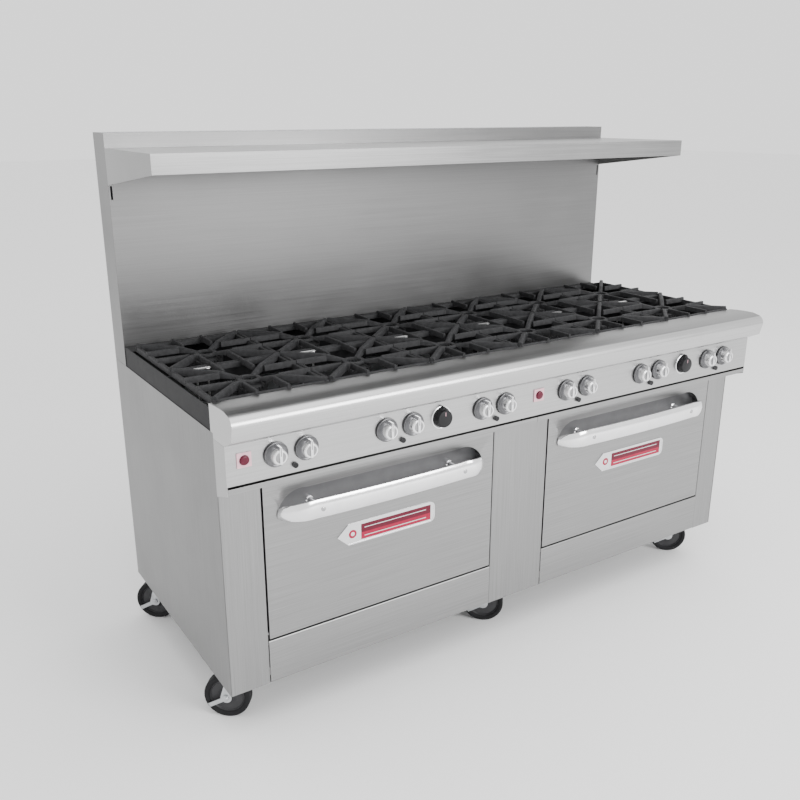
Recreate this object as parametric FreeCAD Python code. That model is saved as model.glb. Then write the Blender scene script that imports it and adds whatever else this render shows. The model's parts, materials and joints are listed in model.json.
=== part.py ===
import FreeCAD, Part
import math
import os

# A free-standing commercial gas range: twelve open burners over two ovens, a tall
# riser with a high shelf, and six swivel casters. Millimetres, +X to the right of
# someone facing the controls, +Y to the back, +Z up. The origin is on the floor,
# under the middle of the range's box.

# Driving dimensions of the whole range
width = 1854.0
depth = 886.0              # from the nose of the front rail to the back
height = 1507.0
rail_overhang = 117.0      # nose of the rail in front of the door plane
body_bottom = 140.0
side_top = 858.0
grate_top = 938.0
grate_hub_drop = 13.0      # hub of a grate below its top
sheet = 1.5                # stainless steel sheet
heavy_sheet = 2.0          # enamelled steel plate
gap = 4.0                  # seam around a door

# Front: columns, doors and kick panels
left_column = 111.0
centre_column = 203.0
right_column = 88.0
centre_shift = 9.5         # middle of the centre column from the middle of the range
kick_top = 264.0
door_bottom = 270.0
door_top = 697.0
door_thickness = 45.0
column_flange = 40.0
hinge_back = 10.0          # hinge axis behind the door's face
hinge_rise = 12.0          # hinge axis above the door's lower edge
hinge_pin_radius = 5.0
running_gap = 0.05         # radial clearance of a pin or shaft in its hole

# Controls
panel_bottom = 745.0
panel_top = 845.0
panel_stand = 66.0         # control panel in front of the door plane
column_pitch = 305.0       # burner columns
burner_columns = 6
knob_pair = 80.0           # between the two knobs of one column
knob_height = 802.0
knob_skirt_radius = 31.0
knob_radius = 18.5         # at the outer end of the grip
knob_reach = 31.0          # skirt to the outer face of the pointer rib
stem_radius = 4.0
dial_height = 802.0
dial_radius = 26.0
dial_places = (-327.0, 609.0)
button_height = 805.0
button_radius = 12.0
button_places = (-882.0, 8.0)
pilot_height = 765.0
pilot_shift = 8.0          # pilot screws sit a little right of each knob pair
control_gap = 1.5          # knob skirt off the panel

# Front rail
rail_top = 932.0
rail_bottom = 866.0
rail_back = 14.0

# Cooking top
grate_width = 303.0
grate_depth = 291.0
grate_pitch = 294.0
rear_panel_top = 914.0
grate_front = 16.0         # front edge of the first row behind the door plane
burner_top = 918.0
riser_front_place = 668.0  # riser behind the door plane
shelf_top = 1467.0
shelf_front_place = 285.0
shelf_lip = 50.0
shelf_gusset = 97.0        # depth of the shelf's end at the riser

# Oven cavity
oven_width = 660.0
oven_floor = 305.0
oven_roof = 661.0
oven_mouth_place = 50.0
oven_depth = 660.0
runner_levels = (365.0, 415.0, 465.0, 515.0, 565.0)

# Casters
caster_columns = (-862.0, 12.0, 883.0)
caster_rows = (97.0, 685.0)
wheel_radius = 63.5
wheel_width = 32.0
caster_trail = 36.0
caster_turn = 140.0        # degrees from +X to the trailing wheel
tyre_round = 4.0
axle_radius = 5.0
plate_half = 42.0
plate_thickness = 4.0
frame_bottom = 157.0
frame_tube = 40.0

# Crumb drawers
lip_top = 738.5            # drawer lip between the control panel and the doors
lip_low = 725.0
drawer_floor = 701.5
drawer_wall = 25.0
drawer_depth = 600.0

half = width / 2
front = -depth / 2 + rail_overhang
back = depth / 2
panel_face = front - panel_stand
centre_left = centre_shift - centre_column / 2
centre_right = centre_shift + centre_column / 2
door_spans = {
    "left": (-half + left_column, centre_left),
    "right": (centre_right, half - right_column),
}
riser_face = front + riser_front_place
shelf_face = front + shelf_front_place
column_places = [(i - (burner_columns - 1) / 2) * column_pitch for i in range(burner_columns)]

# The left wheels trail out past the side, so the middle of the whole box is not the
# middle of the body. Every node is moved over by the difference.
trail = math.radians(caster_turn)
wheel_reach = ((wheel_radius - tyre_round) * abs(math.cos(trail))
               + (wheel_width / 2 - tyre_round) * abs(math.sin(trail)) + tyre_round)
left_wheel = caster_columns[0] + caster_trail * math.cos(trail) - wheel_reach
origin_shift = -(left_wheel + half) / 2

vec = FreeCAD.Vector
along_x = vec(1, 0, 0)
along_y = vec(0, 1, 0)
along_z = vec(0, 0, 1)

os.makedirs("parts", exist_ok=True)


def save(name, *solids):
    shape = solids[0] if len(solids) == 1 else Part.makeCompound(list(solids))
    shape.translate(vec(origin_shift, 0, 0))
    shape.exportStep(os.path.join("parts", name + ".step"))


def block(x0, x1, y0, y1, z0, z1):
    return Part.makeBox(x1 - x0, y1 - y0, z1 - z0, vec(x0, y0, z0))


def rod(start, direction, radius, length):
    return Part.makeCylinder(radius, length, start, direction)


def fused(shapes):
    return shapes[0].multiFuse(shapes[1:]).removeSplitter() if len(shapes) > 1 else shapes[0]


def side_profile(points, x0, x1):
    """A closed outline of (y, z) points, extruded from x0 to x1."""
    ring = [vec(x0, y, z) for y, z in points]
    ring.append(ring[0])
    return Part.Face(Part.makePolygon(ring)).extrude(vec(x1 - x0, 0, 0))


def face_from(edges):
    return Part.Face(Part.Wire(Part.__sortEdges__(edges)))


def arc(a, b, c):
    return Part.Arc(a, b, c).toShape()


def line(a, b):
    return Part.LineSegment(a, b).toShape()


# ---------------------------------------------------------------- base and panels
def base_frame():
    """Square-tube frame under the body, with the six caster plates welded on."""
    low, high = frame_bottom, frame_bottom + frame_tube
    left, right = -half + 4, half - 4
    near, far = front + 40, back - 45
    wall = heavy_sheet

    def tube_x(y):
        outer = block(left, right, y, y + frame_tube, low, high)
        return outer.cut(block(left - 1, right + 1, y + wall, y + frame_tube - wall, low + wall, high - wall))

    def tube_y(x):
        y0, y1 = near + frame_tube, far - frame_tube
        outer = block(x, x + frame_tube, y0, y1, low, high)
        return outer.cut(block(x + wall, x + frame_tube - wall, y0 - 1, y1 + 1, low + wall, high - wall))

    pieces = [tube_x(near), tube_x(far - frame_tube)]
    for x in (left, centre_left, centre_right - frame_tube, right - frame_tube):
        pieces.append(tube_y(x))
    for x, y in caster_axes():
        plate = block(x - plate_half, x + plate_half, y - plate_half, y + plate_half,
                      low - plate_thickness, low)
        hole = rod(vec(x, y, low - plate_thickness - 1), along_z, 6 + running_gap, plate_thickness + 2)
        pieces.append(plate.cut(hole))
    return pieces


def caster_axes():
    return [(x, front + row) for row in caster_rows for x in caster_columns]


def side_panel(side):
    x0 = -half if side == "left" else half - sheet
    return block(x0, x0 + sheet, front, back, body_bottom, side_top)


def supply_pipe_axis():
    return half - 29.0, 770.0


def rear_panel():
    x, z = supply_pipe_axis()
    y = back - 20
    panel = block(-half + sheet, half - sheet, y, y + sheet, body_bottom + 15, rear_panel_top)
    return panel.cut(rod(vec(x, y - 1, z), along_y, 20, sheet + 2))


def front_column(x0, x1, pinned):
    """Folded sheet post. A flange beside a door has the hole for its hinge pin."""
    top = door_top + 2
    pieces = [block(x0, x1, front, front + sheet, body_bottom, top)]
    pieces.append(block(x0, x0 + sheet, front, front + column_flange, body_bottom, top))
    pieces.append(block(x1 - sheet, x1, front, front + column_flange, body_bottom, top))
    post = fused(pieces)
    for side in pinned:
        x = x0 - 1 if side == "left" else x1 - sheet - 1
        post = post.cut(rod(vec(x, *hinge_line()), along_x, hinge_pin_radius + running_gap, sheet + 2))
    return post


def hinge_line():
    return front + hinge_back, door_bottom + hinge_rise


def kick_panel(x0, x1):
    x0, x1 = x0 + 1, x1 - 1
    flange = 30.0
    return fused([
        block(x0, x1, front, front + sheet, body_bottom, kick_top),
        block(x0, x1, front, front + flange, body_bottom, body_bottom + sheet),
        block(x0, x1, front, front + flange, kick_top - sheet, kick_top),
    ])


# ---------------------------------------------------------------- doors
def recess_outline(x_mid, y, grow):
    """Half-moon finger recess in a door: flat below, rounded shoulders above."""
    reach = 316.0 + grow
    low, high = 600.0 - grow, 668.0 + grow
    shoulder, drop = 78.0, 38.0
    a = vec(x_mid - reach, y, low)
    b = vec(x_mid - reach, y, high - drop)
    c = vec(x_mid - reach + shoulder, y, high)
    d = vec(x_mid + reach - shoulder, y, high)
    e = vec(x_mid + reach, y, high - drop)
    f = vec(x_mid + reach, y, low)
    bend = math.cos(math.pi / 4)
    left_mid = vec(c.x - shoulder * bend, y, b.z + drop * bend)
    right_mid = vec(d.x + shoulder * bend, y, e.z + drop * bend)
    left, right = arc(b, left_mid, c), arc(d, right_mid, e)
    return face_from([line(a, b), left, line(c, d), right, line(e, f), line(f, a)])


def door_skin(x0, x1):
    """Outer door sheet: a tray with returned edges and a pressed finger recess."""
    x0, x1 = x0 + gap, x1 - gap
    deep, recess = 30.0, 24.0
    outer = block(x0, x1, front, front + deep, door_bottom, door_top)
    inner = block(x0 + sheet, x1 - sheet, front + sheet, front + deep + 1, door_bottom + sheet, door_top - sheet)
    x_mid = (x0 + x1) / 2
    pocket = recess_outline(x_mid, front, sheet).extrude(vec(0, recess + sheet, 0))
    hollow = recess_outline(x_mid, front - 1, 0).extrude(vec(0, recess + 1, 0))
    return outer.cut(inner).fuse(pocket).cut(hollow).removeSplitter()


def door_liner(x0, x1):
    """Inner door pan, nested in the skin, with the two hinge pins on its sides."""
    x0, x1 = x0 + gap + sheet + 0.5, x1 - gap - sheet - 0.5
    z0, z1 = door_bottom + sheet + 0.5, door_top - sheet - 0.5
    y0, y1 = front + 8, front + door_thickness
    pan = block(x0, x1, y0, y1, z0, z1)
    pan = pan.cut(block(x0 + sheet, x1 - sheet, y0 - 1, y1 - sheet, z0 + sheet, z1 - sheet))
    y, z = hinge_line()
    reach = gap + sheet + 0.5 + sheet
    boss = 14.0
    pins = [
        rod(vec(x0 - reach + 0.2, y, z), along_x, hinge_pin_radius, reach + boss),
        rod(vec(x1 - boss, y, z), along_x, hinge_pin_radius, reach + boss - 0.2),
    ]
    return fused([pan] + pins)


def with_pin_holes(skin, x0, x1):
    y, z = hinge_line()
    return skin.cut(rod(vec(x0, y, z), along_x, hinge_pin_radius, x1 - x0))


def door_handle(x0, x1):
    """Bowed grip bar on two posts: rounded shoulders in plan and in elevation."""
    x_mid = (x0 + x1) / 2
    low, high = 598.0, 650.0
    reach, shoulder, stand, bow = 316.0, 80.0, 45.0, 51.0
    wall = 6.5

    def plan(r, s, b, inset):
        p = [vec(x_mid - r, front, low), vec(x_mid - r + 24 + inset, front - s * 0.68, low),
             vec(x_mid - r + shoulder, front - s, low), vec(x_mid, front - b, low),
             vec(x_mid + r - shoulder, front - s, low), vec(x_mid + r - 24 - inset, front - s * 0.68, low),
             vec(x_mid + r, front, low)]
        return face_from([arc(p[0], p[1], p[2]), arc(p[2], p[3], p[4]), arc(p[4], p[5], p[6]), line(p[6], p[0])])

    outer = plan(reach, stand, bow, 0).extrude(vec(0, 0, high - low))
    inner = plan(reach - 10, stand - wall, bow - wall, 0)
    inner.translate(vec(0, 0, -1))
    bar = outer.cut(inner.extrude(vec(0, 0, high - low + 2)))
    drop = 26.0
    bend = math.cos(math.pi / 4)
    y = front - bow - 1
    a = vec(x_mid - reach - 1, y, low - 1)
    b = vec(x_mid - reach - 1, y, high - drop)
    c = vec(x_mid - reach + shoulder, y, high)
    d = vec(x_mid + reach - shoulder, y, high)
    e = vec(x_mid + reach + 1, y, high - drop)
    f = vec(x_mid + reach + 1, y, low - 1)
    b_c = vec(c.x - (shoulder + 1) * bend, y, b.z + drop * bend)
    d_e = vec(d.x + (shoulder + 1) * bend, y, e.z + drop * bend)
    front_view = face_from([line(a, b), arc(b, b_c, c), line(c, d), arc(d, d_e, e), line(e, f), line(f, a)])
    bar = bar.common(front_view.extrude(vec(0, bow + 1, 0)))
    posts = []
    for x in (-220.0, 220.0):
        posts.append(rod(vec(x_mid + x, front + 24, 620), vec(0, -1, 0), 8, 24 + stand - 1))
    return fused([bar] + posts)


def door_badge(x0, x1):
    """Plain name plate, pointed at its left end and rounded at its right."""
    x_mid = (x0 + x1) / 2
    z, tall, reach, point, round_end = 502.0, 30.0, 155.0, 33.0, 16.0
    y = front
    a = vec(x_mid - reach, y, z)
    b = vec(x_mid - reach + point, y, z + tall)
    c = vec(x_mid + reach - round_end, y, z + tall)
    d = vec(x_mid + reach, y, z)
    e = vec(x_mid + reach - round_end, y, z - tall)
    f = vec(x_mid - reach + point, y, z - tall)
    return face_from([line(a, b), line(b, c), arc(c, d, e), line(e, f), line(f, a)]).extrude(vec(0, -2.5, 0))


# ---------------------------------------------------------------- ovens
def oven_liner(x0, x1):
    """Enamelled cavity: floor, roof, sides, back, mouth frame and rack runners."""
    x_mid = (x0 + x1) / 2
    left, right = x_mid - oven_width / 2, x_mid + oven_width / 2
    y0 = front + oven_mouth_place
    y1 = y0 + oven_depth
    t = heavy_sheet
    pieces = [
        block(left - t, right + t, y0 + t, y1, oven_floor - t, oven_floor),
        block(left - t, right + t, y0 + t, y1, oven_roof, oven_roof + t),
        block(left - t, left, y0 + t, y1, oven_floor, oven_roof),
        block(right, right + t, y0 + t, y1, oven_floor, oven_roof),
        block(left, right, y1 - t, y1, oven_floor, oven_roof),
        block(x0, left, y0, y0 + t, kick_top, door_top + 2),
        block(right, x1, y0, y0 + t, kick_top, door_top + 2),
        block(left, right, y0, y0 + t, kick_top, oven_floor),
        block(left, right, y0, y0 + t, oven_roof, door_top + 2),
    ]
    runner = 8.0
    for z in runner_levels:
        for x in (left, right - runner):
            pieces.append(block(x, x + runner, y0 + 25, y1 - 25, z - 5, z))
    return pieces


def oven_rack(x0, x1):
    """Wire shelf: a frame of thick wire, thin wires front to back and two stays."""
    x_mid = (x0 + x1) / 2
    r, thin = 4.0, 2.5
    reach = oven_width / 2 - 3 - r
    y0 = front + oven_mouth_place + 28
    y1 = y0 + 600
    z = runner_levels[2] + r + 0.5
    end = r + 1
    wires = [
        rod(vec(x_mid - reach, y0 - end, z), along_y, r, y1 - y0 + 2 * end),
        rod(vec(x_mid + reach, y0 - end, z), along_y, r, y1 - y0 + 2 * end),
    ]
    for y in (y0, y0 + 200, y0 + 400, y1):
        wires.append(rod(vec(x_mid - reach, y, z + 0.2), along_x, r - 0.5, 2 * reach))
    count = 14
    for i in range(1, count):
        x = x_mid - reach + 2 * reach * i / count
        wires.append(rod(vec(x, y0 - 2, z + r), along_y, thin, y1 - y0 + 4))
    return fused(wires)


# ---------------------------------------------------------------- controls
def knob_places():
    return [x + side * knob_pair / 2 for x in column_places for side in (-1, 1)]


def pilot_places():
    return [x + pilot_shift for x in column_places]


def control_panel():
    """Folded front panel with end caps, drilled for stems, pilot screws and buttons."""
    y = panel_face
    cap = [(y, panel_top), (y, lip_low - 3), (front, door_top + 2.2), (front, panel_top)]
    body = fused([
        block(-half, half, y, y + sheet, panel_bottom, panel_top),
        side_profile(cap, -half, -half + sheet),
        side_profile(cap, half - sheet, half),
    ])
    holes = [rod(vec(x, y - 1, knob_height), along_y, 6, sheet + 2) for x in knob_places()]
    holes += [rod(vec(x, y - 1, dial_height), along_y, 6, sheet + 2) for x in dial_places]
    holes += [rod(vec(x, y - 1, pilot_height), along_y, 7.2, sheet + 2) for x in pilot_places()]
    holes += [rod(vec(x, y - 1, button_height), along_y, button_radius + 0.3, sheet + 2) for x in button_places]
    body = body.cut(Part.makeCompound(holes))
    bezels = []
    for x in button_places:
        side = 18.0
        ring = block(x - side, x + side, y - 3, y, button_height - side, button_height + side)
        bezels.append(ring.cut(rod(vec(x, y - 4, button_height), along_y, button_radius + 0.3, 5)))
    return [body] + bezels


def knob(x):
    """Turned metal knob: skirt, tapered grip with a pointer rib, and its stem."""
    y = panel_face - control_gap
    out = vec(0, -1, 0)
    skirt = rod(vec(x, y, knob_height), out, knob_skirt_radius, 6)
    grip = Part.makeCone(knob_radius + 2, knob_radius, knob_reach - 9, vec(x, y - 6, knob_height), out)
    low, high = knob_height - knob_radius + 2, knob_height + knob_skirt_radius - 4
    rib = block(x - 4, x + 4, y - knob_reach, y - 6, low, high)
    stem = rod(vec(x, y, knob_height), along_y, stem_radius, 32)
    return fused([skirt, grip, rib, stem])


def dial(x):
    """Thermostat dial: round black body with a pointer nose above it."""
    y = panel_face - control_gap
    out = vec(0, -1, 0)
    body = rod(vec(x, y, dial_height), out, dial_radius, 18)
    nose = Part.Face(Part.makePolygon([
        vec(x - 14, y, dial_height + 18), vec(x + 14, y, dial_height + 18),
        vec(x, y, dial_height + dial_radius + 8), vec(x - 14, y, dial_height + 18),
    ])).extrude(vec(0, -12, 0))
    stem = rod(vec(x, y, dial_height), along_y, stem_radius, 32)
    return fused([body, nose, stem])


def button(x):
    y = panel_face
    return rod(vec(x, y - 9, button_height), along_y, button_radius, 30)


def gas_manifold():
    """Manifold pipe with its valves, pilot screws and the supply pipe to the back."""
    pipe_radius = 17.0
    pipe_y = front - 22
    x_pipe, z = supply_pipe_axis()
    pipe = [
        rod(vec(-half + 30, pipe_y, z), along_x, pipe_radius, x_pipe + half - 30),
        Part.makeSphere(pipe_radius + 1, vec(x_pipe, pipe_y, z)),
        rod(vec(x_pipe, pipe_y, z), along_y, pipe_radius, back - pipe_y),
    ]
    pieces = [fused(pipe)]
    valve_front, valve_back = panel_face + 12, front - 2
    for x in knob_places():
        body = block(x - 13, x + 13, valve_front, valve_back, z + pipe_radius - 1, knob_height + 13)
        body = body.cut(rod(vec(x, valve_front - 1, knob_height), along_y, stem_radius + running_gap, 22))
        pieces.append(body.cut(pieces[0]))
    for x in dial_places:
        body = block(x - 20, x + 20, valve_front, valve_back, z + pipe_radius - 1, dial_height + 20)
        body = body.cut(rod(vec(x, valve_front - 1, dial_height), along_y, stem_radius + running_gap, 22))
        pieces.append(body.cut(pieces[0]))
    for x in pilot_places():
        screw = rod(vec(x, panel_face - 8, pilot_height), along_y, 7, pipe_y - panel_face + 8)
        pieces.append(screw.cut(pieces[0]))
    return pieces


# ---------------------------------------------------------------- front rail and drawers
def front_rail():
    """Bullnosed rail folded from sheet, open at the back, with closed ends."""
    nose = front - rail_overhang
    back_edge = front + rail_back
    x0, x1 = -half, half

    def outline(x, t):
        top_back = vec(x, back_edge - t, rail_top - 5 - t)
        top_crown = vec(x, front - 75, rail_top - t)
        top_front = vec(x, nose + 25, rail_top - 3.5 - t)
        bull_mid = vec(x, nose + 7 + t * 0.7, rail_top - 12 - t * 0.7)
        bull_end = vec(x, nose + t, rail_top - 30)
        foot = vec(x, nose + 9 + t, rail_bottom + t)
        under = vec(x, panel_face + t * 0.3, panel_top + t)
        heel = vec(x, front - t, panel_top + t)
        step = vec(x, front - t, side_top + t)
        inside = vec(x, back_edge - t, side_top + t)
        return face_from([
            arc(top_back, vec(x, front - 30, rail_top - 1 - t), top_crown), line(top_crown, top_front),
            arc(top_front, bull_mid, bull_end), line(bull_end, foot), line(foot, under),
            line(under, heel), line(heel, step), line(step, inside), line(inside, top_back),
        ])

    outer = outline(x0, 0).extrude(vec(x1 - x0, 0, 0))
    inner = outline(x0 + sheet, sheet).extrude(vec(x1 - x0 - 2 * sheet, 0, 0))
    open_back = block(x0 + sheet, x1 - sheet, panel_face + 10, back_edge + 1, panel_top - 1, rail_top - 22)
    return outer.cut(inner).cut(open_back).removeSplitter()


def crumb_drawer(x0, x1, wall_left, wall_right):
    """Drip tray that slides out above the oven doors; its lip closes the front."""
    t = sheet
    lip = side_profile([
        (panel_face, lip_low), (front - 3, door_top + 2.5), (front - 3 + t, door_top + 4),
        (panel_face + t, lip_low + t), (panel_face + t, lip_top), (panel_face, lip_top),
    ], x0, x1)
    y0, y1 = front - 3, front + drawer_depth
    floor = block(wall_left, wall_right, y0, y1, drawer_floor, drawer_floor + t)
    walls = [
        block(wall_left, wall_left + t, y0 + 5, y1, drawer_floor, drawer_floor + drawer_wall),
        block(wall_right - t, wall_right, y0 + 5, y1, drawer_floor, drawer_floor + drawer_wall),
        block(wall_left, wall_right, y1 - t, y1, drawer_floor, drawer_floor + drawer_wall),
        block(wall_left, wall_right, y0 + 5, y0 + 5 + t, drawer_floor, drawer_floor + drawer_wall),
    ]
    return fused([lip, floor] + walls)


# ---------------------------------------------------------------- cooking top
def row_places():
    first = front + grate_front + grate_depth / 2
    return (first, first + grate_pitch)


def burner_box():
    """Black chassis of the cooking top: walls, grate rails, rear deck and drawer ledges."""
    t = heavy_sheet
    side = half - sheet - 0.5
    low, high = 747.0, 916.0
    near, far = front + grate_front - 2, riser_face + 60
    rows = row_places()
    mid = (rows[0] + rows[1]) / 2
    pieces = [
        block(-side, -side + t, near, far, door_top + 2, high),
        block(side - t, side, near, far, door_top + 2, high),
        block(-side + t, side - t, near, near + t, panel_top + 4, high),
        block(-side + t, side - t, mid - 3, mid + 3, high - 26, high),
    ]
    x_pipe, z_pipe = supply_pipe_axis()
    rear_wall = block(-side + t, side - t, far - t, far, low, high)
    pieces.append(rear_wall.cut(rod(vec(x_pipe, far - t - 1, z_pipe), along_y, 20, t + 2)))
    deck_front = rows[1] + grate_depth / 2 + 3
    pieces.append(block(-side + t, side - t, deck_front, far - t, high - t, high))
    for i in range(1, burner_columns):
        x = (column_places[i - 1] + column_places[i]) / 2
        pieces.append(block(x - 3, x + 3, near + t, mid - 3, high - 26, high))
        pieces.append(block(x - 3, x + 3, mid + 3, deck_front, high - 26, high))
    ledge = 18.0
    low_ledge = door_top + 2
    y0, y1 = near, front + drawer_depth + 20
    pieces.append(block(-side + t, -side + t + ledge, y0, y1, low_ledge, low_ledge + t))
    pieces.append(block(side - t - ledge, side - t, y0, y1, low_ledge, low_ledge + t))
    x = centre_shift
    pieces.append(block(x - ledge, x + ledge, y0, y1, low_ledge, low_ledge + t))
    hanger_top = 780.0
    pieces.append(block(x - 1, x + 1, near + t, far - t, low_ledge + t, hanger_top))
    return pieces


def star_grate(x, y):
    """Cast grate: outer frame, corner arms, eight fingers and a centre ring."""
    low, frame_high = 916.0, grate_top - 8
    hx, hy = grate_width / 2, grate_depth / 2
    bar = 11.0
    frame = block(x - hx, x + hx, y - hy, y + hy, low, frame_high)
    frame = frame.cut(block(x - hx + bar, x + hx - bar, y - hy + bar, y + hy - bar, low - 1, frame_high + 1))
    ring_out, ring_in = 32.0, 20.0
    hub_top = grate_top - grate_hub_drop
    ring = rod(vec(x, y, low + 3), along_z, ring_out, hub_top - low - 3)
    ring = ring.cut(rod(vec(x, y, low), along_z, ring_in, 40))
    pieces = [frame, ring]
    arm = 13.0
    for angle in (45, 135, 225, 315):
        reach = math.hypot(hx, hy) - 12
        rib = side_profile([
            (y + ring_in + 3, low + 3), (y + reach, low + 3), (y + reach, grate_top),
            (y + 80, grate_top), (y + ring_in + 3, hub_top + 1),
        ], x - arm / 2, x + arm / 2)
        rib.rotate(vec(x, y, 0), along_z, angle)
        pieces.append(rib.common(block(x - hx, x + hx, y - hy, y + hy, low, grate_top)))
    thin, off = 9.0, 42.0
    inner_end = 62.0
    for s in (-1, 1):
        for o in (-off, off):
            x_in, x_out = sorted((x + s * inner_end, x + s * hx))
            pieces.append(block(x_in, x_out, y + o - thin / 2, y + o + thin / 2, low + 6, grate_top))
            y_in, y_out = sorted((y + s * inner_end, y + s * hy))
            pieces.append(block(x + o - thin / 2, x + o + thin / 2, y_in, y_out, low + 6, grate_top))
    return fused(pieces)


def burner(x, y, x_mouth):
    """Cast burner: venturi from its valve, elbow, neck, ported head and cap."""
    z = knob_height
    tube = 15.0
    pieces = [
        rod(vec(x_mouth, front + 2, z), along_y, tube, y - front - 2),
        rod(vec(x_mouth, y, z - tube - 2), along_z, tube + 2, 2 * tube + 4),
        rod(vec(x_mouth, y, z), vec(x - x_mouth, 0, 0), tube, abs(x - x_mouth)),
        rod(vec(x, y, z - tube - 2), along_z, 19, burner_top - 28 - z + tube + 2),
        Part.makeCone(30, 46, 10, vec(x, y, burner_top - 38), along_z),
        rod(vec(x, y, burner_top - 28), along_z, 46, 14),
        Part.makeCone(40, 30, 8, vec(x, y, burner_top - 14), along_z),
    ]
    return fused(pieces)


# ---------------------------------------------------------------- riser and shelf
def riser_front():
    """Riser face with returned ends, top strip and the slots of the shelf hooks."""
    z0, z1 = 916.0, height
    y0, y1 = riser_face, back - sheet
    skin = fused([
        block(-half, half, y0, y0 + sheet, z0, z1),
        block(-half, -half + sheet, y0, y1, side_top + 0.5, z1),
        block(half - sheet, half, y0, y1, side_top + 0.5, z1),
        block(-half, half, y0, y0 + 26, z1 - sheet, z1),
    ])
    for x in (-half + 8, half - 8):
        skin = skin.cut(block(x - 2.5, x + 2.5, y0 - 1, y0 + sheet + 1, 1331, 1367))
    return skin


def riser_back():
    y = back - sheet
    return fused([
        block(-half, half, y, back, side_top + 2, height),
        block(-half, half, back - 22, back, height - sheet, height),
    ]).cut(block(-half - 1, -half + sheet, back - 23, y, side_top, height + 1)).cut(
        block(half - sheet, half + 1, back - 23, y, side_top, height + 1))


def high_shelf():
    """Folded shelf hung on the riser: front lip, tapered end gussets, rear flange."""
    z = shelf_top
    y0, y1 = shelf_face, riser_face
    lip_low = z - shelf_lip
    pieces = [
        block(-half, half, y0, y1, z - sheet, z),
        block(-half, half, y0, y0 + sheet, lip_low, z),
        block(-half, half, y0, y0 + 16, lip_low, lip_low + sheet),
        block(-half, half, y1 - sheet, y1, z - 30, z),
    ]
    gusset = [(y0, z), (y0, lip_low), (y1, z - shelf_gusset), (y1, z)]
    pieces.append(side_profile(gusset, -half, -half + sheet))
    pieces.append(side_profile(gusset, half - sheet, half))
    return fused(pieces)


# ---------------------------------------------------------------- casters
def caster_fork(x, y):
    """Swivel fork with its axle, stem and a tread guard strap on one leg."""
    top = frame_bottom - plate_thickness - 0.3
    crown = 4.0
    crown_top = top - 5
    inside = wheel_width / 2 + 3
    leg = 3.0
    hub_z = wheel_radius

    def local(a, b, z):
        return vec(a, b, z)

    pieces = [rod(vec(0, 0, crown_top - 1), along_z, 27, top - crown_top + 1),
              rod(vec(0, 0, crown_top - 1), along_z, 6, frame_bottom - crown_top + 0.5),
              block(-26, 26, -inside - leg, inside + leg, crown_top - crown, crown_top)]
    for side in (-1, 1):
        b0 = inside if side > 0 else -inside - leg
        edges = [
            line(local(-26, b0, crown_top), local(26, b0, crown_top)),
            line(local(26, b0, crown_top), local(caster_trail + 15, b0, hub_z + 3)),
            arc(local(caster_trail + 15, b0, hub_z + 3), local(caster_trail, b0, hub_z - 15),
                local(caster_trail - 15, b0, hub_z + 3)),
            line(local(caster_trail - 15, b0, hub_z + 3), local(-26, b0, crown_top - 18)),
            line(local(-26, b0, crown_top - 18), local(-26, b0, crown_top)),
        ]
        pieces.append(face_from(edges).extrude(vec(0, leg, 0)))
    pieces.append(rod(vec(caster_trail, -inside - leg - 4, hub_z), along_y, axle_radius, 2 * (inside + leg + 4)))
    for side in (-1, 1):
        start = vec(caster_trail, side * (inside + leg), hub_z)
        pieces.append(rod(start, vec(0, side, 0), 9, 4))
    strap = block(caster_trail, caster_trail + 56, inside, inside + leg, hub_z - 7, hub_z + 5)
    strap.rotate(vec(caster_trail, 0, hub_z), along_y, 28)
    pieces.append(strap)
    fork = fused(pieces)
    fork.rotate(vec(0, 0, 0), along_z, caster_turn)
    fork.translate(vec(x, y, 0))
    return fork


def caster_wheel(x, y):
    """Solid rubber tyre on a plastic core with a bored hub."""
    turn = math.radians(caster_turn)
    centre = vec(x + caster_trail * math.cos(turn), y + caster_trail * math.sin(turn), wheel_radius)
    axle = vec(-math.sin(turn), math.cos(turn), 0)

    def disc(radius, wide):
        return rod(centre - axle * (wide / 2), axle, radius, wide)

    tread = 12.0
    tyre = disc(wheel_radius, wheel_width)
    rounding = [e for e in tyre.Edges if isinstance(e.Curve, Part.Circle)]
    tyre = tyre.makeFillet(tyre_round, rounding)
    tyre = tyre.cut(disc(wheel_radius - tread, wheel_width + 2))
    core = disc(wheel_radius - tread, wheel_width - 8)
    hub = disc(16, wheel_width + 4)
    core = core.fuse(hub).cut(disc(axle_radius + running_gap, wheel_width + 8)).removeSplitter()
    return [tyre, core]


# ---------------------------------------------------------------- write every node
save("base_frame", *base_frame())
save("side_panel_left", side_panel("left"))
save("side_panel_right", side_panel("right"))
save("rear_panel", rear_panel())
save("front_column_left", front_column(-half + sheet, -half + left_column, ["right"]))
save("front_column_centre", front_column(centre_left, centre_right, ["left", "right"]))
save("front_column_right", front_column(half - right_column, half - sheet, ["left"]))
save("control_panel", *control_panel())
save("gas_manifold", *gas_manifold())
save("front_rail", front_rail())
save("burner_box", *burner_box())
save("riser_front", riser_front())
save("riser_back", riser_back())
save("high_shelf", high_shelf())

for side, (x0, x1) in door_spans.items():
    save("kick_panel_" + side, kick_panel(x0, x1))
    save("door_" + side + "_skin", with_pin_holes(door_skin(x0, x1), x0, x1))
    save("door_" + side + "_liner", door_liner(x0, x1))
    save("door_" + side + "_handle", door_handle(x0, x1))
    save("door_" + side + "_badge", door_badge(x0, x1))
    save("oven_" + side, *oven_liner(x0, x1))
    save("rack_" + side, oven_rack(x0, x1))

drawer_room = half - sheet - heavy_sheet - 3
lip_end = half - sheet - 0.5
save("crumb_drawer_left", crumb_drawer(-lip_end, centre_shift - 0.5, -drawer_room, centre_shift - 2))
save("crumb_drawer_right", crumb_drawer(centre_shift + 0.5, lip_end, centre_shift + 2, drawer_room))

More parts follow.
